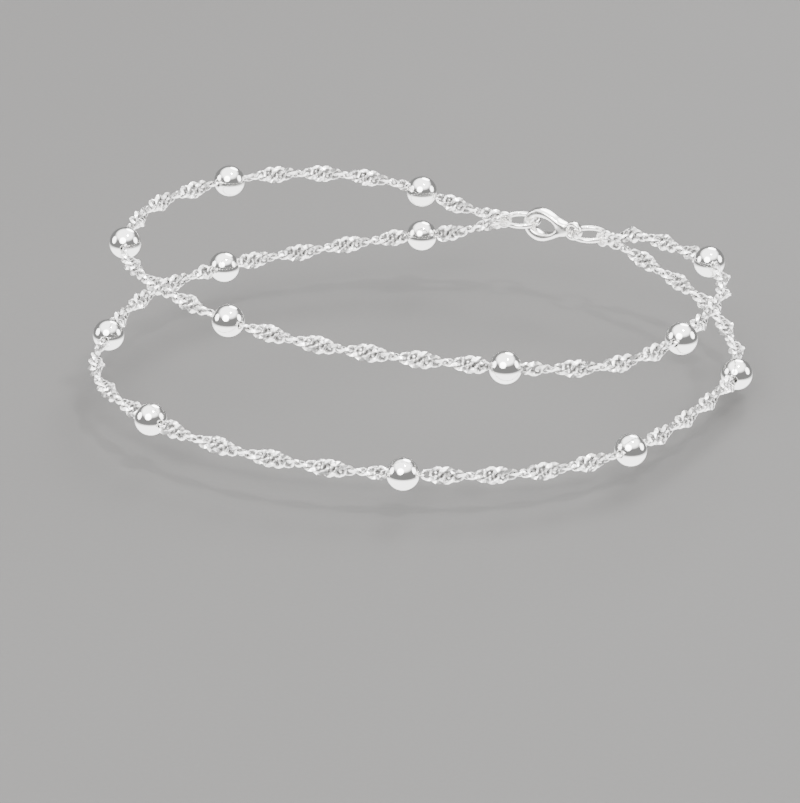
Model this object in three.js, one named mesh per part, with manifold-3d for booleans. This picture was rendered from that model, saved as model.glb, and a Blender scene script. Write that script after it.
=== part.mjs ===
// A two-strand anklet: twisted flat chains with drilled beads on them, two jump rings and a closed clasp.
// Millimetres and degrees. Z runs up the axis of the opening, -Y faces the viewer and X runs to the right.
// It has the form that it takes when it is worn, so each strand goes round an oval.

import * as THREE from "three";
import { mergeVertices } from "three/addons/utils/BufferGeometryUtils.js";
import Module from "manifold-3d";

const wasm = await Module();
wasm.setup();

// The chain, a flat band of interlocked links that turns about its own length and narrows in the beads
const chainWidth = 2.4;
const chainThickness = 0.9;
const narrowWidth = 1.3;
const linkPitch = 1.18;
const chainSides = 8;

// The beads, drilled right through for the chain
const beadDiameter = 4.3;
const boreClearance = 0.18;
const beadSides = 14;
const beadArcSteps = 8;

// The jump rings, and the rings soldered to the ends of the chains. A hole is the diameter inside a ring.
const jumpHole = 4.2;
const jumpWire = 0.7;
const endWire = 0.45;
const endRoom = 0.6;
const ringPlay = 0.18;
const ringSides = 14;
const wireSides = 6;

// The clasp: a drop-shaped loop, with a thinner eye at its narrow end
const claspWidth = 4.8;
const claspThickness = 1.8;
const claspBevel = 0.35;
const clawLength = 3.9;
const clawWidth = 2.4;
const clawWall = 1.15;
const neckLength = 2.0;
const eyeRoom = 0.8;
const eyeWall = 0.6;
const eyeThickness = 1.0;
const eyeBevel = 0.2;
const claspSteps = 16;

// The outline of the clasp's body as shares of its length and of its width
const claspOutline = [
  { along: 0, wide: 0 },
  { along: 0.03, wide: 0.36 },
  { along: 0.12, wide: 0.74 },
  { along: 0.28, wide: 0.98 },
  { along: 0.45, wide: 0.98 },
  { along: 0.64, wide: 0.76 },
  { along: 0.82, wide: 0.48 },
  { along: 1, wide: 0.3 },
];

// The middle of the clasp: its angle round the opening, its distance from the axis and its height
const claspPlace = { turn: 60, reach: 38.0, height: -1.0 };

// How each strand leaves its two jump rings: how far it heads inwards from the line of the clasp, and how far
// upwards. It stays straight over the length of its lead.
const leaving = {
  upper: { left: 38, right: 21, rise: 22 },
  lower: { left: 14, right: -3, rise: -22 },
};
const leadLength = 7;

// The route of each strand between its leads, from the clasp's left-hand end round to its right-hand end
const routes = {
  upper: [
    { turn: 96, reach: 34.3, height: 5.2 },
    { turn: 114, reach: 34.4, height: 7.7 },
    { turn: 134, reach: 36.9, height: 8.8 },
    { turn: 155, reach: 39.4, height: 9.4 },
    { turn: 172, reach: 40.1, height: 9.7 },
    { turn: 185, reach: 40.2, height: 9.6 },
    { turn: 198, reach: 38.5, height: 9.4 },
    { turn: 211, reach: 36.4, height: 9.0 },
    { turn: 226, reach: 34.9, height: 8.5 },
    { turn: 244, reach: 33.3, height: 7.8 },
    { turn: 262, reach: 32.7, height: 7.1 },
    { turn: 278, reach: 33.6, height: 6.4 },
    { turn: 293, reach: 36.5, height: 5.8 },
    { turn: 308, reach: 39.4, height: 5.1 },
    { turn: 324, reach: 39.8, height: 4.5 },
    { turn: 341, reach: 39.9, height: 4.1 },
    { turn: 357, reach: 41.1, height: 3.8 },
    { turn: 372, reach: 40.9, height: 3.3 },
    { turn: 386, reach: 39.2, height: 2.4 },
  ],
  lower: [
    { turn: 96, reach: 38.7, height: -5.0 },
    { turn: 114, reach: 38.9, height: -5.8 },
    { turn: 134, reach: 40.8, height: -5.8 },
    { turn: 155, reach: 42.6, height: -5.6 },
    { turn: 176, reach: 43.6, height: -5.6 },
    { turn: 192, reach: 44.9, height: -5.6 },
    { turn: 206, reach: 43.9, height: -5.7 },
    { turn: 221, reach: 42.2, height: -6.0 },
    { turn: 237, reach: 40.5, height: -6.3 },
    { turn: 253, reach: 39.2, height: -6.7 },
    { turn: 268, reach: 38.3, height: -7.1 },
    { turn: 284, reach: 38.9, height: -7.5 },
    { turn: 300, reach: 39.6, height: -7.8 },
    { turn: 316, reach: 39.6, height: -8.1 },
    { turn: 331, reach: 39.6, height: -8.3 },
    { turn: 345, reach: 40.9, height: -8.5 },
    { turn: 358, reach: 43.4, height: -8.5 },
    { turn: 371, reach: 43.9, height: -7.8 },
    { turn: 384, reach: 43.4, height: -6.0 },
  ],
};

// The beads in their order along each strand: the length of chain from the bead before, or from the strand's
// first end, and the half turns that the band makes over that length
const beads = {
  upper: [
    { gap: 12.0, halfTurns: 1.9 },
    { gap: 29.5, halfTurns: 4.3 },
    { gap: 29.6, halfTurns: 4.3 },
    { gap: 29.6, halfTurns: 4.4 },
    { gap: 38.1, halfTurns: 5.6 },
    { gap: 28.9, halfTurns: 4.3 },
    { gap: 31.0, halfTurns: 4.7 },
  ],
  lower: [
    { gap: 12.0, halfTurns: 1.6 },
    { gap: 30.2, halfTurns: 4.2 },
    { gap: 30.2, halfTurns: 4.2 },
    { gap: 30.2, halfTurns: 4.3 },
    { gap: 37.6, halfTurns: 4.8 },
    { gap: 32.6, halfTurns: 4.8 },
    { gap: 30.6, halfTurns: 4.4 },
  ],
};

// The half turns from each strand's last bead to its last end. The band stands upright at its first end.
const lastHalfTurns = { upper: 3.5, lower: 5.7 };
const firstAngle = 90;

const silver = { color: 0xe9e7e2, metalness: 1.0 };
const polished = new THREE.MeshStandardMaterial({ ...silver, roughness: 0.12 });
const cut = new THREE.MeshStandardMaterial({ ...silver, roughness: 0.2 });

// Sizes that follow from the ones above

const { degToRad, lerp } = THREE.MathUtils;
const up = new THREE.Vector3(0, 0, 1);
const sides = { left: -1, right: 1 };

const beadRadius = beadDiameter / 2;
const boreRadius = Math.max(narrowWidth, chainThickness) / 2 + boreClearance;
const mouth = Math.sqrt(beadRadius ** 2 - boreRadius ** 2);
const jumpRadius = (jumpHole + jumpWire) / 2;
const endRadius = (jumpWire + endRoom + endWire) / 2;
const endSlack = endRoom / 2 - ringPlay;

// The claw's tip is at the left-hand end of the clasp and its eye at the right-hand end
const eyeRadius = (jumpWire + eyeRoom) / 2;
const bodyLength = clawWall + clawLength + neckLength;
const claspLength = bodyLength + 2 * eyeRadius + eyeWall;
const clawTip = -claspLength / 2;
const clawCentre = clawTip + clawWall + clawLength / 2;
const eyeCentre = claspLength / 2 - eyeWall - eyeRadius;
const jumpCentres = {
  left: clawTip + clawWall + jumpWire / 2 + 2 * ringPlay - jumpRadius,
  right: eyeCentre + eyeRadius - jumpWire / 2 - ringPlay + jumpRadius,
};

function pointAt({ turn, reach, height }) {
  const angle = degToRad(turn);
  return new THREE.Vector3(reach * Math.cos(angle), reach * Math.sin(angle), height);
}

// The clasp's frame: X along the clasp, Y away from the axis of the opening and Z up
const claspFrame = new THREE.Matrix4()
  .makeRotationZ(degToRad(claspPlace.turn - 90))
  .setPosition(pointAt(claspPlace));

// A closed geometry as a solid, for joining and cutting
function solidOf(geometry) {
  const bare = geometry.clone();
  bare.deleteAttribute("normal");
  bare.deleteAttribute("uv");
  const merged = mergeVertices(bare);
  return new wasm.Manifold(
    new wasm.Mesh({
      numProp: 3,
      vertProperties: new Float32Array(merged.attributes.position.array),
      triVerts: new Uint32Array(merged.index.array),
    }),
  );
}

function geometryOf(solid) {
  const { vertProperties, triVerts } = solid.getMesh();
  const geometry = new THREE.BufferGeometry();
  geometry.setAttribute("position", new THREE.BufferAttribute(vertProperties, 3));
  geometry.setIndex(new THREE.BufferAttribute(triVerts, 1));
  geometry.computeVertexNormals();
  return geometry;
}

function nodeOf(name, geometry, material) {
  const mesh = new THREE.Mesh(geometry, material);
  mesh.name = name;
  return mesh;
}

// One end of a strand: the ring on it, which hangs on the jump ring, and the way that the chain leaves it
function endOf(strand, side) {
  const inward = degToRad(leaving[strand][side]);
  const rise = degToRad(leaving[strand].rise);
  const outward = new THREE.Vector3(sides[side] * Math.cos(inward), -Math.sin(inward), 0);
  const wire = outward.clone().multiplyScalar(jumpRadius);
  wire.x += jumpCentres[side];
  const direction = outward.clone().multiplyScalar(Math.cos(rise));
  direction.z = Math.sin(rise);
  const centre = wire.addScaledVector(direction, endSlack).applyMatrix4(claspFrame);
  outward.transformDirection(claspFrame);
  direction.transformDirection(claspFrame);
  return {
    centre,
    direction,
    axis: outward.cross(up),
    start: centre.clone().addScaledVector(direction, endRadius),
  };
}

function endRingOf({ centre, axis }) {
  const ring = new THREE.TorusGeometry(endRadius, endWire / 2, wireSides, ringSides);
  ring.applyQuaternion(new THREE.Quaternion().setFromUnitVectors(up, axis));
  ring.translate(...centre);
  return ring;
}

// The middle line of a strand
function routeOf(strand, first, last) {
  const points = [
    first.start,
    first.start.clone().addScaledVector(first.direction, leadLength),
    ...routes[strand].map(pointAt),
    last.start.clone().addScaledVector(last.direction, leadLength),
    last.start,
  ];
  const route = new THREE.CatmullRomCurve3(points, false, "catmullrom");
  route.arcLengthDivisions = points.length * 100;
  return route;
}

// A place on a strand: its point, the way forward, the way out and the way up
function placeOn(route, distance) {
  const share = distance / route.getLength();
  const point = route.getPointAt(share);
  const forward = route.getTangentAt(share);
  const out = forward.clone().cross(up).normalize();
  return { point, forward, out, rise: out.clone().cross(forward) };
}

// The beads' centres as distances along their strand
function beadDistances(strand) {
  let distance = 0;
  return beads[strand].map(({ gap }) => {
    distance += gap;
    return distance;
  });
}

// The sections of the band as distances along the strand, each with its width and the angle that it is
// turned to. The band is narrow at the mouths of the beads and at both ends.
function sectionsOf(strand, length) {
  const knots = [0, ...beadDistances(strand), length];
  const halfTurns = [...beads[strand].map((bead) => bead.halfTurns), lastHalfTurns[strand]];
  const sections = [];
  let angle = firstAngle;
  for (let i = 0; i < halfTurns.length; i += 1) {
    const from = i === 0 ? knots[i] : knots[i] + mouth;
    const to = i === halfTurns.length - 1 ? knots[i + 1] : knots[i + 1] - mouth;
    const steps = Math.round((to - from) / linkPitch);
    for (let step = 0; step <= steps; step += 1) {
      const distance = lerp(from, to, step / steps);
      const turned = (180 * halfTurns[i] * (distance - knots[i])) / (knots[i + 1] - knots[i]);
      const width = step === 0 || step === steps ? narrowWidth : chainWidth;
      sections.push({ distance, width, angle: angle + turned });
    }
    angle += 180 * halfTurns[i];
  }
  return sections;
}

// The band, from a straight cylinder with one ring of corners for each section
function bandOf(strand, route) {
  const sections = sectionsOf(strand, route.getLength());
  const steps = sections.length - 1;
  const band = new THREE.CylinderGeometry(1, 1, 1, chainSides, steps);
  const corners = band.attributes.position;
  for (let i = 0; i < corners.count; i += 1) {
    const { distance, width, angle } = sections[Math.round((corners.getY(i) + 0.5) * steps)];
    const { point, forward, out, rise } = placeOn(route, distance);
    const across = out.multiplyScalar(Math.cos(degToRad(angle)));
    across.addScaledVector(rise, -Math.sin(degToRad(angle)));
    const through = across.clone().cross(forward);
    point.addScaledVector(across, (corners.getX(i) * width) / 2);
    point.addScaledVector(through, (corners.getZ(i) * chainThickness) / 2);
    corners.setXYZ(i, ...point);
  }
  return band;
}

// A bead's outer surface and its bore, as one closed profile
function beadGeometry() {
  const first = Math.asin(boreRadius / beadRadius);
  const profile = [];
  for (let step = 0; step <= beadArcSteps; step += 1) {
    const angle = lerp(first, Math.PI - first, step / beadArcSteps);
    profile.push(new THREE.Vector2(beadRadius * Math.sin(angle), -beadRadius * Math.cos(angle)));
  }
  return new THREE.LatheGeometry([...profile, profile[0]], beadSides);
}

function strandNodes(strand) {
  const first = endOf(strand, "left");
  const last = endOf(strand, "right");
  const route = routeOf(strand, first, last);
  const chain = solidOf(bandOf(strand, route))
    .add(solidOf(endRingOf(first)))
    .add(solidOf(endRingOf(last)));
  const nodes = beadDistances(strand).map((distance, i) => {
    const { point, forward } = placeOn(route, distance);
    const bead = nodeOf(`bead_${strand}_${i + 1}`, beadGeometry(), polished);
    bead.position.copy(point);
    bead.quaternion.setFromUnitVectors(new THREE.Vector3(0, 1, 0), forward);
    return bead;
  });
  return [nodeOf(`chain_${strand}`, geometryOf(chain), cut), ...nodes];
}

// A bevelled plate in the XZ plane, with the given outline and hole
function plateOf(outline, hole, thickness, bevel) {
  outline.holes.push(hole);
  const plate = new THREE.ExtrudeGeometry(outline, {
    depth: thickness - 2 * bevel,
    curveSegments: claspSteps,
    bevelThickness: bevel,
    bevelSize: bevel,
    bevelOffset: -bevel,
    bevelSegments: 1,
  });
  plate.translate(0, 0, bevel - thickness / 2);
  plate.rotateX(Math.PI / 2);
  return plate;
}

function claspGeometry() {
  const lowerHalf = claspOutline.map(
    ({ along, wide }) => new THREE.Vector2(clawTip + along * bodyLength, (-wide * claspWidth) / 2),
  );
  const upperHalf = lowerHalf.slice(1).map(({ x, y }) => new THREE.Vector2(x, -y));
  const body = new THREE.Shape([...lowerHalf, ...upperHalf.reverse()]);
  const claw = new THREE.Path().absellipse(clawCentre, 0, clawLength / 2, clawWidth / 2);
  const ring = new THREE.Shape().absarc(eyeCentre, 0, eyeRadius + eyeWall, 0, 2 * Math.PI);
  const hole = new THREE.Path().absarc(eyeCentre, 0, eyeRadius, 0, 2 * Math.PI);
  return geometryOf(
    solidOf(plateOf(body, claw, claspThickness, claspBevel)).add(
      solidOf(plateOf(ring, hole, eyeThickness, eyeBevel)),
    ),
  );
}

// The clasp and its jump rings, in the clasp's frame

const fastening = new THREE.Group();
fastening.add(nodeOf("clasp", claspGeometry(), polished));
for (const [side, centre] of Object.entries(jumpCentres)) {
  const ring = new THREE.TorusGeometry(jumpRadius, jumpWire / 2, wireSides, ringSides);
  const node = nodeOf(`jump_ring_${side}`, ring, polished);
  node.position.x = centre;
  fastening.add(node);
}
fastening.applyMatrix4(claspFrame);

const anklet = new THREE.Group();
anklet.add(fastening, ...strandNodes("upper"), ...strandNodes("lower"));

export default anklet;
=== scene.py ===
"""The looks of a two-strand anklet: twisted diamond-cut chains, polished beads, jump rings and a clasp."""

from bisect import bisect_right
from math import atan2, copysign, cos, pi, radians, sin, sqrt

import bmesh
import bpy
from mathutils import Matrix, Vector


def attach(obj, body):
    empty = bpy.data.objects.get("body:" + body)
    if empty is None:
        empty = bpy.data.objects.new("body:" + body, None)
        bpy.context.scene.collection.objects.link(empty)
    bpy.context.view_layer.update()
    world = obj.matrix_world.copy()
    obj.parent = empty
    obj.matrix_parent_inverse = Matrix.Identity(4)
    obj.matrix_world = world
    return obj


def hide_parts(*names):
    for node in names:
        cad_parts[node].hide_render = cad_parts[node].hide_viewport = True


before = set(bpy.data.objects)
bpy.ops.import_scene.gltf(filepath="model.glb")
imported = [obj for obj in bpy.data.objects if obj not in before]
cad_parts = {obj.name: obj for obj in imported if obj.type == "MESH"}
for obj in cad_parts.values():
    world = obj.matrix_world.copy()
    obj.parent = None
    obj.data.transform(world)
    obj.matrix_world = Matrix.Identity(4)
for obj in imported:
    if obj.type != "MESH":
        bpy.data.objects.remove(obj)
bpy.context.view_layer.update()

# The anklet's sizes are in millimetres and degrees, and its finished meshes are brought to metres
MM = 0.001
MERGE_DISTANCE = 1e-5
HALF_TURN = 180
UP = Vector((0, 0, 1))

# The chain: its width, its width inside the beads, and where its links stand along it
CHAIN_WIDTH = 2.4
NARROW_WIDTH = 0.85
LINK_PITCH = 1.18
FIRST_LINK = 0.53

# Its links: flattened wire, broader at a link's sides than at its ends, with the twist of each millimetre
LINK_LENGTH = 2.28
LINK_END_WIRE = 0.5
LINK_SIDE_WIRE = 0.84
LINK_THICKNESS = 0.4
LINK_SADDLE = 0.31
LINK_TWIST = radians(26)
LINK_STEPS = 14
LINK_SIDES = 4

# Diamond cuts on both faces of each link, and the brightness at the middle of its wire, which rises
# outwards;
# this brightness is painted light, with painted shade on the inner walls, and it also makes the metal
# smoother
CUT_TILT = radians(28)
CUT_DEPTH = 0.09
MIDDLE_PAINTED_LIGHT_AND_POLISH = 0.8
PAINTED_LIGHT_AND_POLISH_RISE = 3.0

# Beads
BEAD_DIAMETER = 4.3
BORE_CLEARANCE = 0.05
LIP_ROUNDING = 0.14
LIP_STEPS = 3
BEAD_STEPS = 48
BEAD_RINGS = 32

# Jump rings and the rings soldered to the chain ends
JUMP_HOLE = 4.2
JUMP_WIRE = 0.7
JUMP_STEPS = 56
JUMP_SIDES = 18
END_WIRE = 0.45
END_ROOM = 0.6
END_STEPS = 36
END_SIDES = 12
# The end rings' level of painted light and polish on the chain's "cut" layer
END_PAINTED_LIGHT_AND_POLISH = 0.9
RING_PLAY = 0.18
SOLDER_DIAMETER = 1.0
SOLDER_REACH = 0.1
SOLDER_STEPS = 20
SOLDER_RINGS = 12

# Clasp
CLASP_WIDTH = 4.8
CLASP_THICKNESS = 1.8
CLAW_LENGTH = 3.9
CLAW_WIDTH = 2.4
CLAW_WALL = 1.15
NECK_LENGTH = 2.0
EYE_ROOM = 0.8
EYE_WALL = 0.6
EYE_THICKNESS = 1.0
BODY_STEPS = 72
BODY_SIDES = 20
EYE_STEPS = 40
EYE_SIDES = 16
BOXING = 0.6

# The body's outline: place along it and half width, as shares of its length and of half the clasp's width
CLASP_OUTLINE = [
    (0, 0),
    (0.03, 0.36),
    (0.12, 0.74),
    (0.28, 0.98),
    (0.45, 0.98),
    (0.64, 0.76),
    (0.82, 0.48),
    (1, 0.3),
]
OUTLINE_STEPS = 24

# The clasp's middle: degrees round the opening, distance from its axis, height
CLASP_TURN = 60
CLASP_REACH = 38.0
CLASP_HEIGHT = -1.0

# The way that each strand leaves its jump rings, in degrees inward at each side and degrees up,
# and how far it goes that way before its route begins
LEAVING = {
    "upper": {"left": 38, "right": 21, "rise": 22},
    "lower": {"left": 14, "right": -3, "rise": -22},
}
LEAD_LENGTH = 7
CURVE_STEPS = 100
SIDES = {"left": -1, "right": 1}

# Each strand's route: degrees round the opening, distance from its axis, height
ROUTES = {
    "upper": [
        (96, 34.3, 5.2),
        (114, 34.4, 7.7),
        (134, 36.9, 8.8),
        (155, 39.4, 9.4),
        (172, 40.1, 9.7),
        (185, 40.2, 9.6),
        (198, 38.5, 9.4),
        (211, 36.4, 9.0),
        (226, 34.9, 8.5),
        (244, 33.3, 7.8),
        (262, 32.7, 7.1),
        (278, 33.6, 6.4),
        (293, 36.5, 5.8),
        (308, 39.4, 5.1),
        (324, 39.8, 4.5),
        (341, 39.9, 4.1),
        (357, 41.1, 3.8),
        (372, 40.9, 3.3),
        (386, 39.2, 2.4),
    ],
    "lower": [
        (96, 38.7, -5.0),
        (114, 38.9, -5.8),
        (134, 40.8, -5.8),
        (155, 42.6, -5.6),
        (176, 43.6, -5.6),
        (192, 44.9, -5.6),
        (206, 43.9, -5.7),
        (221, 42.2, -6.0),
        (237, 40.5, -6.3),
        (253, 39.2, -6.7),
        (268, 38.3, -7.1),
        (284, 38.9, -7.5),
        (300, 39.6, -7.8),
        (316, 39.6, -8.1),
        (331, 39.6, -8.3),
        (345, 40.9, -8.5),
        (358, 43.4, -8.5),
        (371, 43.9, -7.8),
        (384, 43.4, -6.0),
    ],
}

# Each strand's beads: the chain in front of each one, and the half turns made over it
BEADS = {
    "upper": [(12.0, 1.9), (29.5, 4.3), (29.6, 4.3), (29.6, 4.4), (38.1, 5.6), (28.9, 4.3), (31.0, 4.7)],
    "lower": [(12.0, 1.6), (30.2, 4.2), (30.2, 4.2), (30.2, 4.3), (37.6, 4.8), (32.6, 4.8), (30.6, 4.4)],
}

# The half turns after the last bead, and the angle in degrees that each band starts at
LAST_HALF_TURNS = {"upper": 3.5, "lower": 5.7}
FIRST_ANGLE = 90

# Sizes that follow from the ones above
BEAD_RADIUS = BEAD_DIAMETER / 2
BORE_RADIUS = NARROW_WIDTH / 2 + BORE_CLEARANCE
MOUTH = sqrt(BEAD_RADIUS**2 - BORE_RADIUS**2)
JUMP_RADIUS = (JUMP_HOLE + JUMP_WIRE) / 2
END_RADIUS = (JUMP_WIRE + END_ROOM + END_WIRE) / 2
END_SLACK = END_ROOM / 2 - RING_PLAY
EYE_RADIUS = (JUMP_WIRE + EYE_ROOM) / 2
BODY_LENGTH = CLAW_WALL + CLAW_LENGTH + NECK_LENGTH
CLASP_LENGTH = BODY_LENGTH + 2 * EYE_RADIUS + EYE_WALL
CLAW_TIP = -CLASP_LENGTH / 2
CLAW_CENTRE = CLAW_TIP + CLAW_WALL + CLAW_LENGTH / 2
EYE_CENTRE = CLASP_LENGTH / 2 - EYE_WALL - EYE_RADIUS
JUMP_CENTRES = {
    "left": CLAW_TIP + CLAW_WALL + JUMP_WIRE / 2 + 2 * RING_PLAY - JUMP_RADIUS,
    "right": EYE_CENTRE + EYE_RADIUS - JUMP_WIRE / 2 - RING_PLAY + JUMP_RADIUS,
}

# Diamond-cut silver: its colours, the dark one painted shade for the recesses between links, and roughness,
# what wear and the cut faces do to them, the scales of wear and grain per metre, and the relief of the
# grain in metres
RECESS_PAINTED_SHADE = (0.035, 0.033, 0.032)
CUT_COLOUR = (0.97, 0.96, 0.945)
PAINTED_LIGHT_SHARE = 0.85
WEAR_SHINE = 0.3
CHAIN_ROUGHNESS = 0.42
CUT_POLISH = 0.17
WEAR_ROUGHNESS = 0.1
WEAR_SCALE = 900
GRAIN_SCALE = 5200
GRAIN_DETAIL = 1
GRAIN_DEPTH = 0.00004
GRAIN_STRENGTH = 0.5

# Polished silver: the colours of its clouds, its roughness and what clouds and scratches add to that,
# the scales of both per metre, and the relief of the scratches in metres
POLISHES = {
    "bead_silver": {
        "dull": (0.93, 0.92, 0.90),
        "bright": (0.97, 0.965, 0.95),
        "roughness": 0.05,
        "cloudiness": 0.05,
        "scuffing": 0.03,
        "cloud_scale": 420,
        "scratch_scale": 9000,
        "scratch_depth": 0.000003,
        "scratch_strength": 0.3,
    },
    "finding_silver": {
        "dull": (0.89, 0.875, 0.85),
        "bright": (0.95, 0.94, 0.92),
        "roughness": 0.1,
        "cloudiness": 0.1,
        "scuffing": 0.05,
        "cloud_scale": 600,
        "scratch_scale": 7000,
        "scratch_depth": 0.000005,
        "scratch_strength": 0.4,
    },
}
CLOUD_DETAIL = 3

# Camera: its target, its distance from that and its nearest view, in metres; lens and sensor in millimetres
CAMERA_TARGET = Vector((-0.003, -0.031, 0))
CAMERA_DISTANCE = 0.6
CAMERA_CLIP = 0.06
CAMERA_TILT = radians(24)
LENS = 206
SENSOR = 36

# Floor, in metres, and its mottled paper: colours, roughness, and scales per metre
FLOOR_SIZE = 3.0
FLOOR_HEIGHT = -0.0125
PAPER_DARK = (0.078, 0.076, 0.074)
PAPER_LIGHT = (0.083, 0.081, 0.079)
PAPER_ROUGHNESS = 0.7
FIBRE_ROUGHNESS = 0.1
MOTTLE_SCALE = 14
FIBRE_SCALE = 1600

# The soft round lamps: place and width in metres, power in watts
LAMPS = {
    "key_light": {"place": (-0.22, -0.55, 0.45), "width": 0.6, "power": 9.0},
    "left_light": {"place": (-0.75, 0.05, 0.2), "width": 0.5, "power": 3.9},
    "right_light": {"place": (0.75, 0.05, 0.2), "width": 0.5, "power": 3.9},
    "back_light": {"place": (0.2, 0.6, 0.45), "width": 0.4, "power": 3.9},
    "spark_light": {"place": (0.15, -0.1, 0.6), "width": 0.06, "power": 2.2},
}

# The light tent: height, from 0 straight down to 1 straight up, and the brightness of its cloth there
TENT = [(0.22, 1.0), (0.36, 0.07), (0.72, 0.07), (0.88, 1.0)]
TENT_POWER = 4.3


# Nodes and finishes


class Value:
    """An output of a node, which Python's operators work on."""

    def __init__(self, nodes, socket):
        self.nodes = nodes
        self.socket = socket

    def math(self, operation, first, second):
        return self.nodes.node("ShaderNodeMath", {"operation": operation}, ((0, first), (1, second)))

    def __add__(self, other):
        return self.math("ADD", self, other)

    def __rsub__(self, other):
        return self.math("SUBTRACT", other, self)

    def __mul__(self, other):
        return self.math("MULTIPLY", self, other)

    __radd__ = __add__
    __rmul__ = __mul__


class Nodes:
    """The nodes of a material or of the world, and the last one, which they lead to."""

    def __init__(self, owner, last):
        owner.use_nodes = True
        self.tree = owner.node_tree
        self.last = self.tree.nodes[last]

    def feed(self, socket, value):
        if isinstance(value, Value):
            self.tree.links.new(value.socket, socket)
        else:
            socket.default_value = value

    def node(self, kind, settings=None, inputs=(), output=0):
        """Adds a node: its settings first, with a ramp's stops, then its sockets by name or number."""
        node = self.tree.nodes.new(kind)
        for name, value in (settings or {}).items():
            if name == "stops":
                self.set_stops(node.color_ramp, value)
            else:
                setattr(node, name, value)
        for key, value in inputs:
            self.feed(node.inputs[key], value)
        return Value(self, node.outputs[output])

    def set_stops(self, ramp, stops):
        """Sets a smooth grey ramp, which starts with two stops and gets as many more as it needs."""
        ramp.interpolation = "EASE"
        while len(ramp.elements) < len(stops):
            ramp.elements.new(1.0)
        for stop, (spot, level) in zip(ramp.elements, stops):
            stop.position = spot
            stop.color = (level, level, level, 1)

    def end(self, name, value):
        """Feeds a socket of the last node."""
        self.feed(self.last.inputs[name], value)


class Finish(Nodes):
    """A surface: one material, with its nodes."""

    def __init__(self, name, metallic=1.0):
        self.material = bpy.data.materials.new(name)
        super().__init__(self.material, "Principled BSDF")
        self.end("Metallic", metallic)

    def noise(self, scale, detail=2.0):
        """Noise in 0 to 1, with its scale per metre."""
        place = self.node("ShaderNodeTexCoord", output="Object")
        inputs = (("Vector", place), ("Scale", scale), ("Detail", detail))
        return self.node("ShaderNodeTexNoise", inputs=inputs)

    def attribute(self, name):
        return self.node("ShaderNodeAttribute", {"attribute_name": name}, output="Fac")

    def mix(self, share, low, high):
        """A colour between two: a Mix node takes colours at inputs 6 and 7 and gives one at output 2."""
        inputs = ((0, share), (6, (*low, 1)), (7, (*high, 1)))
        return self.node("ShaderNodeMix", {"data_type": "RGBA"}, inputs, output=2)

    def relief(self, height, distance, strength):
        bump = (("Height", height), ("Distance", distance), ("Strength", strength))
        self.end("Normal", self.node("ShaderNodeBump", inputs=bump))


def chain_silver():
    """Diamond-cut silver, bright on its cut faces, with painted shade in the recesses between links."""
    finish = Finish("chain_silver")
    cut = finish.attribute("cut")
    wear = finish.noise(WEAR_SCALE, detail=CLOUD_DETAIL)
    # Painted shade: the colour falls to the dark recess colour where the "cut" layer is low, on the links'
    # inner walls; wear varies the rest at random
    painted_light_and_wear = cut * (PAINTED_LIGHT_SHARE + WEAR_SHINE * wear)
    finish.end("Base Color", finish.mix(painted_light_and_wear, RECESS_PAINTED_SHADE, CUT_COLOUR))
    finish.end("Roughness", CHAIN_ROUGHNESS - CUT_POLISH * cut + WEAR_ROUGHNESS * wear)
    finish.relief(finish.noise(GRAIN_SCALE, detail=GRAIN_DETAIL), GRAIN_DEPTH, GRAIN_STRENGTH)
    return finish.material


def polished_silver(name):
    """Silver with faint clouds and scratches: the beads' mirror, or the softer shine of clasp and rings."""
    look = POLISHES[name]
    finish = Finish(name)
    cloud = finish.noise(look["cloud_scale"], detail=CLOUD_DETAIL)
    scratches = finish.noise(look["scratch_scale"])
    finish.end("Base Color", finish.mix(cloud, look["dull"], look["bright"]))
    finish.end("Roughness", look["roughness"] + look["cloudiness"] * cloud + look["scuffing"] * scratches)
    finish.relief(scratches, look["scratch_depth"], look["scratch_strength"])
    return finish.material


def floor_paper():
    """Grey paper, faintly mottled."""
    finish = Finish("floor_paper", metallic=0.0)
    mottling = finish.noise(MOTTLE_SCALE)
    fibres = finish.noise(FIBRE_SCALE)
    finish.end("Base Color", finish.mix(mottling, PAPER_DARK, PAPER_LIGHT))
    finish.end("Roughness", PAPER_ROUGHNESS + FIBRE_ROUGHNESS * fibres)
    return finish.material


# Places and routes


def point_at(turn, reach, height):
    angle = radians(turn)
    return Vector((reach * cos(angle), reach * sin(angle), height))


def frame_of(x, y, z, origin):
    """The matrix that puts a shape's own axes along x, y and z at an origin."""
    matrix = Matrix((x, y, z)).transposed().to_4x4()
    matrix.translation = origin
    return matrix


# The clasp lies along the anklet: its own y axis points away from the opening, and its z axis up
CLASP_OUT = point_at(CLASP_TURN, 1, 0)
CLASP_FRAME = frame_of(CLASP_OUT.cross(UP), CLASP_OUT, UP, point_at(CLASP_TURN, CLASP_REACH, CLASP_HEIGHT))


def smooth_curve(p0, p1, p2, p3, t):
    """The point and the way forward at a share t of the curve from p1 to p2, with p0 and p3 beside them."""
    b = p2 - p0
    c = 2 * p0 - 5 * p1 + 4 * p2 - p3
    d = 3 * p1 - p0 - 3 * p2 + p3
    point = p1 + (b * t + c * t * t + d * t * t * t) / 2
    return point, (b + 2 * c * t + 3 * d * t * t).normalized()


class StrandEnd:
    """One end of a strand: the ring on it and the way that the chain leaves that ring."""

    def __init__(self, strand, side):
        inward = radians(LEAVING[strand][side])
        rise = radians(LEAVING[strand]["rise"])
        outward = Vector((SIDES[side] * cos(inward), -sin(inward), 0))
        direction = outward * cos(rise) + UP * sin(rise)
        wire = outward * JUMP_RADIUS + Vector((JUMP_CENTRES[side], 0, 0))
        turn = CLASP_FRAME.to_3x3()
        self.centre = CLASP_FRAME @ (wire + direction * END_SLACK)
        self.direction = turn @ direction
        self.outward = turn @ outward
        self.axis = self.outward.cross(UP)
        self.start = self.centre + self.direction * END_RADIUS


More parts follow.
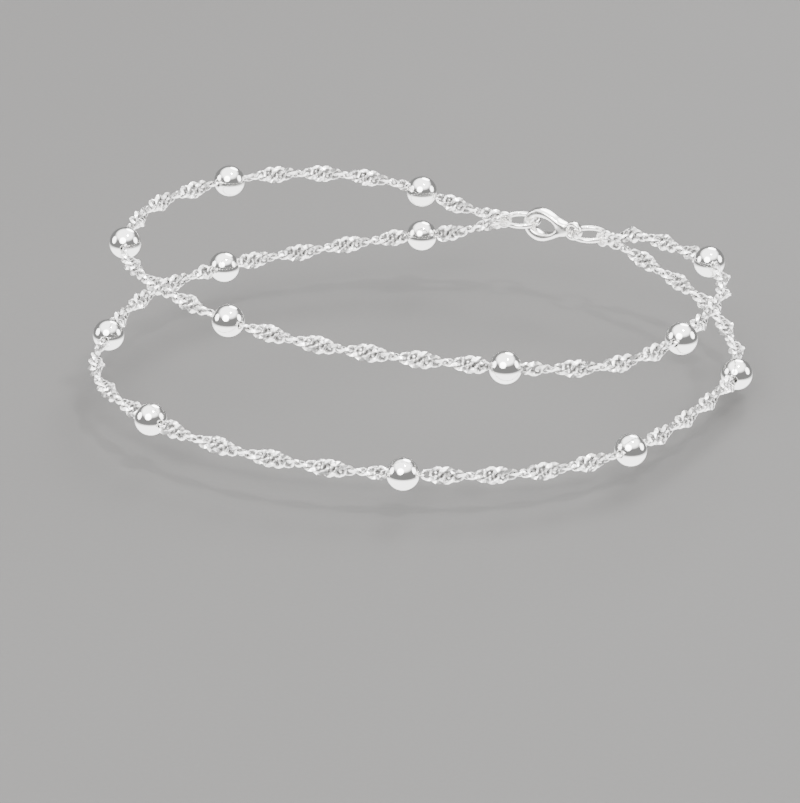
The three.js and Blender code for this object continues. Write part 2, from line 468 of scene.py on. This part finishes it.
class Strand:
    """A strand's middle line, its beads and the twist of its chain."""

    def __init__(self, name):
        self.name = name
        self.ends = [StrandEnd(name, side) for side in SIDES]
        first, last = self.ends
        self.points = [
            first.start,
            first.start + first.direction * LEAD_LENGTH,
            *(point_at(*row) for row in ROUTES[name]),
            last.start + last.direction * LEAD_LENGTH,
            last.start,
        ]
        self.points.insert(0, 2 * self.points[0] - self.points[1])
        self.points.append(2 * self.points[-1] - self.points[-2])
        self.lengths = [0.0]
        count = (len(self.points) - 3) * CURVE_STEPS
        spots = [self.curve(step / CURVE_STEPS)[0] for step in range(count + 1)]
        for here, there in zip(spots, spots[1:]):
            self.lengths.append(self.lengths[-1] + (there - here).length)
        self.length = self.lengths[-1]
        self.beads = []
        distance = 0.0
        for gap, _ in BEADS[name]:
            distance += gap
            self.beads.append(distance)

    def curve(self, t):
        """The point and the way forward at a curve parameter, which grows by one from point to point."""
        index = min(int(t), len(self.points) - 4)
        return smooth_curve(*self.points[index : index + 4], t - index)

    def axes(self, distance):
        """The point on the strand, the way forward, the way out and the way up there."""
        index = min(max(bisect_right(self.lengths, distance) - 1, 0), len(self.lengths) - 2)
        step = self.lengths[index + 1] - self.lengths[index]
        share = (distance - self.lengths[index]) / step
        point, forward = self.curve((index + share) / CURVE_STEPS)
        out = forward.cross(UP).normalized()
        return point, forward, out, out.cross(forward)

    def angle(self, distance):
        """The angle in degrees that the band is turned to."""
        knots = [0.0, *self.beads, self.length]
        turns = [*(turns for _, turns in BEADS[self.name]), LAST_HALF_TURNS[self.name]]
        angle = FIRST_ANGLE
        for start, stop, count in zip(knots, knots[1:], turns):
            if distance <= stop:
                return angle + HALF_TURN * count * (distance - start) / (stop - start)
            angle += HALF_TURN * count
        return angle

    def size(self, distance):
        """The size of a link as a share of the full size: small in a bead, full one pitch outside it."""
        outside = min(abs(distance - bead) for bead in self.beads) - MOUTH
        share = min(max(outside / LINK_PITCH, 0.0), 1.0)
        narrow = NARROW_WIDTH / CHAIN_WIDTH
        return narrow + (1 - narrow) * share * share * (3 - 2 * share)


# Shapes


def mesh_of(bm, name):
    mesh = bpy.data.meshes.new(name)
    bm.to_mesh(mesh)
    bm.free()
    return mesh


def place_in_scene(mesh, name):
    piece = bpy.data.objects.new(name, mesh)
    bpy.context.scene.collection.objects.link(piece)
    return piece


def finished(bm, name, material, node):
    """Turns a shape in millimetres into a piece that stands for a solid of the part."""
    bmesh.ops.scale(bm, vec=(MM, MM, MM), verts=bm.verts)
    mesh = mesh_of(bm, name)
    mesh.materials.append(material)
    piece = place_in_scene(mesh, name)
    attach(piece, "root")
    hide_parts(node)


def smooth(bm):
    for face in bm.faces:
        face.smooth = True


def torus(radius, wire, steps, sides, matrix):
    """A ring of round wire, made by turning the wire's section about the ring's axis."""
    bm = bmesh.new()
    side = Matrix.Translation((radius, 0, 0)) @ Matrix.Rotation(pi / 2, 4, "X")
    bmesh.ops.create_circle(bm, segments=sides, radius=wire / 2, matrix=side)
    bmesh.ops.spin(
        bm,
        geom=bm.verts[:] + bm.edges[:],
        cent=(0, 0, 0),
        axis=(0, 0, 1),
        angle=2 * pi,
        steps=steps,
        use_merge=True,
    )
    bmesh.ops.remove_doubles(bm, verts=bm.verts, dist=MERGE_DISTANCE)
    bmesh.ops.recalc_face_normals(bm, faces=bm.faces)
    bmesh.ops.transform(bm, matrix=matrix, verts=bm.verts)
    return bm


def cut_off(bm, point, normal):
    """Takes away what lies beyond a plane, and gives the edges of the cut."""
    cut = bmesh.ops.bisect_plane(
        bm,
        geom=bm.verts[:] + bm.edges[:] + bm.faces[:],
        plane_co=point,
        plane_no=normal,
        clear_outer=True,
    )
    return [item for item in cut["geom_cut"] if isinstance(item, bmesh.types.BMEdge)]


def link_mesh():
    """One oval link, bent so that its neighbours pass through it, cut on both faces and twisted."""
    bm = torus(1, 1, LINK_STEPS, LINK_SIDES, Matrix())
    # The "cut" layer: painted shade at 0 on the wire's inner side, rising to 1 on its outer side and on the
    # cut facets, where the metal is also smoother
    cut = bm.verts.layers.float.new("cut")
    for vert in bm.verts:
        x, y, z = vert.co
        around = atan2(y, x)
        out = sqrt(x * x + y * y) - 1
        wire = LINK_END_WIRE + (LINK_SIDE_WIRE - LINK_END_WIRE) * sin(around) ** 2
        middle = Vector(((LINK_LENGTH - wire) / 2 * cos(around), (CHAIN_WIDTH - wire) / 2 * sin(around), 0))
        away = Vector((CHAIN_WIDTH * cos(around), LINK_LENGTH * sin(around), 0)).normalized()
        height = z * LINK_THICKNESS - LINK_SADDLE * sin(2 * around)
        vert.co = middle + away * out * wire + UP * height
        vert[cut] = min(max(MIDDLE_PAINTED_LIGHT_AND_POLISH + PAINTED_LIGHT_AND_POLISH_RISE * out, 0.0), 1.0)
    for side in (1, -1):
        for face in (1, -1):
            normal = Vector((0, side * sin(CUT_TILT), face * cos(CUT_TILT)))
            reach = max(vert.co.dot(normal) for vert in bm.verts)
            edges = cut_off(bm, normal * (reach - CUT_DEPTH), normal)
            for facet in bmesh.ops.holes_fill(bm, edges=edges, sides=0)["faces"]:
                for vert in facet.verts:
                    vert[cut] = 1.0
    for vert in bm.verts:
        vert.co.rotate(Matrix.Rotation(LINK_TWIST * vert.co.x, 3, "X"))
    bmesh.ops.recalc_face_normals(bm, faces=bm.faces)
    return mesh_of(bm, "link")


def link_distances(strand):
    """Where the links go: each one interlocks with the last, so small links stand closer together."""
    stop = strand.length - FIRST_LINK
    spots = [FIRST_LINK]
    while spots[-1] < stop:
        here = strand.size(spots[-1])
        there = strand.size(spots[-1] + LINK_PITCH * here)
        spots.append(spots[-1] + LINK_PITCH * (here + there) / 2)
    stretch = (stop - FIRST_LINK) / (spots[-1] - FIRST_LINK)
    return [FIRST_LINK + (spot - FIRST_LINK) * stretch for spot in spots]


def make_chain(strand, material, link):
    """All the links of a strand and its two soldered rings, as one mesh."""
    bm = bmesh.new()
    cut = bm.verts.layers.float.new("cut")
    for distance in link_distances(strand):
        point, forward, out, rise = strand.axes(distance)
        angle = radians(strand.angle(distance))
        across = out * cos(angle) - rise * sin(angle)
        first = len(bm.verts)
        bm.from_mesh(link)
        bm.verts.ensure_lookup_table()
        size = Matrix.Scale(strand.size(distance), 4)
        placed = frame_of(forward, across, forward.cross(across), point) @ size
        bmesh.ops.transform(bm, matrix=placed, verts=bm.verts[first:])
    first = len(bm.verts)
    for end in strand.ends:
        placed = frame_of(end.outward, UP, end.axis, end.centre)
        bm.from_mesh(mesh_of(torus(END_RADIUS, END_WIRE, END_STEPS, END_SIDES, placed), "end_ring"))
        bmesh.ops.create_uvsphere(
            bm,
            u_segments=SOLDER_STEPS,
            v_segments=SOLDER_RINGS,
            radius=SOLDER_DIAMETER / 2,
            matrix=Matrix.Translation(end.start + end.direction * SOLDER_REACH),
        )
    bm.verts.ensure_lookup_table()
    for vert in bm.verts[first:]:
        # The end rings and solder get one level of painted light and polish on the "cut" layer
        vert[cut] = END_PAINTED_LIGHT_AND_POLISH
        for face in vert.link_faces:
            face.smooth = True
    finished(bm, f"{strand.name}_chain_links", material, f"chain_{strand.name}")


def make_bead(strand, index, distance, material):
    """A drilled ball with rounded lips at the mouths of its bore."""
    bm = bmesh.new()
    bmesh.ops.create_uvsphere(bm, u_segments=BEAD_STEPS, v_segments=BEAD_RINGS, radius=BEAD_RADIUS)
    rims = []
    for side in (1, -1):
        rims += cut_off(bm, (0, 0, side * MOUTH), (0, 0, side))
    bmesh.ops.bridge_loops(bm, edges=rims)
    bmesh.ops.recalc_face_normals(bm, faces=bm.faces)
    bmesh.ops.bevel(
        bm,
        geom=rims,
        offset=LIP_ROUNDING,
        affect="EDGES",
        segments=LIP_STEPS,
        profile=0.5,
        material=-1,
    )
    smooth(bm)
    point, _, out, rise = strand.axes(distance)
    bmesh.ops.transform(bm, matrix=frame_of(out, rise, out.cross(rise), point), verts=bm.verts)
    finished(bm, f"{strand.name}_bead_{index}", material, f"bead_{strand.name}_{index}")


def make_jump_ring(side, material):
    placed = CLASP_FRAME @ Matrix.Translation((JUMP_CENTRES[side], 0, 0))
    bm = torus(JUMP_RADIUS, JUMP_WIRE, JUMP_STEPS, JUMP_SIDES, placed)
    smooth(bm)
    finished(bm, f"{side}_jump_ring", material, f"jump_ring_{side}")


def boxed(share):
    """Squares a round section up: a place across it, from -0.5 to 0.5, moved towards its nearer side."""
    return 0.5 * copysign(abs(2 * share) ** BOXING, share)


def rounded_ring(inner, outer, thickness, steps, sides):
    """A ring in the XZ plane between two outlines given by their points at an angle, with rounded edges."""
    bm = torus(1, 1, steps, sides, Matrix())
    for vert in bm.verts:
        x, y, z = vert.co
        around = atan2(y, x)
        share = boxed(sqrt(x * x + y * y) - 1) + 0.5
        spot = inner(around).lerp(outer(around), share)
        vert.co = (spot.x, -boxed(z) * thickness, spot.y)
    return bm


def oval(centre, half_length, half_width):
    """An oval on the clasp's middle line, as its point at an angle round its centre."""
    return lambda around: Vector((centre + half_length * cos(around), half_width * sin(around)))


def body_outline():
    """The clasp's smooth outline, as its point at an angle round the middle of the claw."""
    half = [
        Vector((CLAW_TIP + along * BODY_LENGTH, wide * CLASP_WIDTH / 2))
        for along, wide in CLASP_OUTLINE
    ]
    ring = [*half, *(Vector((x, -z)) for x, z in half[:0:-1])]
    middle = Vector((CLAW_CENTRE, 0))
    spots = [
        smooth_curve(*(ring[(i + k) % len(ring)] for k in (-1, 0, 1, 2)), step / OUTLINE_STEPS)[0]
        for i in range(len(ring))
        for step in range(OUTLINE_STEPS)
    ]
    headings = [((spot - middle).normalized(), spot) for spot in spots]

    def point(around):
        ray = Vector((cos(around), sin(around)))
        return max(headings, key=lambda pair: pair[0].dot(ray))[1]

    return point


def make_clasp(material):
    """The clasp's drop-shaped body with its claw's opening, and the eye at its narrow end."""
    claw = oval(CLAW_CENTRE, CLAW_LENGTH / 2, CLAW_WIDTH / 2)
    hole = oval(EYE_CENTRE, EYE_RADIUS, EYE_RADIUS)
    rim = oval(EYE_CENTRE, EYE_RADIUS + EYE_WALL, EYE_RADIUS + EYE_WALL)
    bm = rounded_ring(claw, body_outline(), CLASP_THICKNESS, BODY_STEPS, BODY_SIDES)
    bm.from_mesh(mesh_of(rounded_ring(hole, rim, EYE_THICKNESS, EYE_STEPS, EYE_SIDES), "eye"))
    bmesh.ops.transform(bm, matrix=CLASP_FRAME, verts=bm.verts)
    bmesh.ops.recalc_face_normals(bm, faces=bm.faces)
    smooth(bm)
    finished(bm, "closed_clasp", material, "clasp")


# Studio


def look_at(obj, place, target):
    obj.location = place
    obj.rotation_euler = (Vector(target) - Vector(place)).to_track_quat("-Z", "Y").to_euler()


def make_camera():
    data = bpy.data.cameras.new("camera")
    data.sensor_width = SENSOR
    data.lens = LENS
    data.clip_start = CAMERA_CLIP
    camera = place_in_scene(data, "camera")
    away = Vector((0, -cos(CAMERA_TILT), sin(CAMERA_TILT)))
    look_at(camera, CAMERA_TARGET + CAMERA_DISTANCE * away, CAMERA_TARGET)
    bpy.context.scene.camera = camera


def make_lamp(name, place, width, power):
    light = bpy.data.lights.new(name, "AREA")
    light.shape = "DISK"
    light.size = width
    light.energy = power
    look_at(place_in_scene(light, name), place, (0, 0, 0))


def make_tent():
    """A light tent: bright cloth above and below, and a dim belt of room all round."""
    world = bpy.data.worlds.new("light_tent")
    nodes = Nodes(world, "Background")
    way = nodes.node("ShaderNodeTexCoord")
    height = nodes.node("ShaderNodeSeparateXYZ", inputs=((0, way),), output="Z")
    cloth = nodes.node("ShaderNodeValToRGB", {"stops": TENT}, ((0, 0.5 + 0.5 * height),))
    nodes.end("Color", cloth)
    nodes.end("Strength", TENT_POWER)
    bpy.context.scene.world = world


def make_floor():
    bm = bmesh.new()
    ground = Matrix.Translation((0, 0, FLOOR_HEIGHT))
    bmesh.ops.create_grid(bm, x_segments=1, y_segments=1, size=FLOOR_SIZE, matrix=ground)
    mesh = mesh_of(bm, "floor")
    mesh.materials.append(floor_paper())
    floor = place_in_scene(mesh, "floor")
    floor.visible_glossy = False


# The scene

make_camera()
make_tent()
for name, lamp in LAMPS.items():
    make_lamp(name, **lamp)
make_floor()

chain_finish = chain_silver()
bead_finish = polished_silver("bead_silver")
finding_finish = polished_silver("finding_silver")
link = link_mesh()
for name in ROUTES:
    strand = Strand(name)
    make_chain(strand, chain_finish, link)
    for index, distance in enumerate(strand.beads, 1):
        make_bead(strand, index, distance, bead_finish)
for side in SIDES:
    make_jump_ring(side, finding_finish)
make_clasp(finding_finish)
